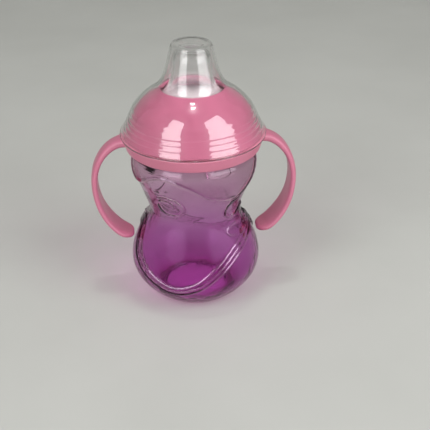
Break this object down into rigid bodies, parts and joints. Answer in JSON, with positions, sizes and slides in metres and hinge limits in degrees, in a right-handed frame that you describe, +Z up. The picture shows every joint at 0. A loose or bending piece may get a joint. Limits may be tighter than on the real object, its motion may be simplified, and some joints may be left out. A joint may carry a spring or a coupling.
{
  "type": "sippy cup",
  "caption": "Toddler trainer cup: waisted tinted bottle, ring with two open handles, domed screw collar, soft silicone spout and a clear push-on cover.",
  "frame": {"origin": "centre of the ring that the bottle stands on, at the surface it rests on", "axes": "+Z up along the cup's axis; the two handles lie along +X and -X; -Y is the front"},
  "size_m": [0.1178, 0.082, 0.153],
  "materials": {
    "tinted_plastic": "transparent purple polypropylene, paler towards the top, glossy",
    "pink_plastic": "opaque pink polypropylene, semi-gloss",
    "collar_plastic": "opaque pink polypropylene, glossy",
    "clear_silicone": "translucent food-grade silicone, slightly hazy",
    "clear_plastic": "clear hard plastic, glossy"
  },
  "bodies": {
    "bottle": {"bottle": "tinted_plastic"},
    "handle_ring": {"handle_ring": "pink_plastic"},
    "spout": {"spout": "clear_silicone"},
    "collar": {"collar": "collar_plastic"},
    "cover": {"cover": "clear_plastic"}
  },
  "joints": [
    {"name": "handle_swivel", "type": "hinge", "parent": "bottle", "child": "handle_ring", "pos_m": [0, 0, 0.097], "axis": [0, 0, 1], "continuous": true},
    {"name": "spout_lift", "type": "slide", "parent": "bottle", "child": "spout", "axis": [0, 0, 1], "range_m": [0, 0.0069]},
    {"name": "collar_turn", "type": "hinge", "parent": "spout", "child": "collar", "pos_m": [0, 0, 0.104], "axis": [0, 0, 1], "range_deg": [0, 540]},
    {"name": "cover_pull", "type": "slide", "parent": "collar", "child": "cover", "axis": [0, 0, 1], "range_m": [0, 0.055]}
  ],
  "couplings": [
    {"joint": "spout_lift", "follows": "collar_turn", "m_per_rad": 0.0007162}
  ]
}
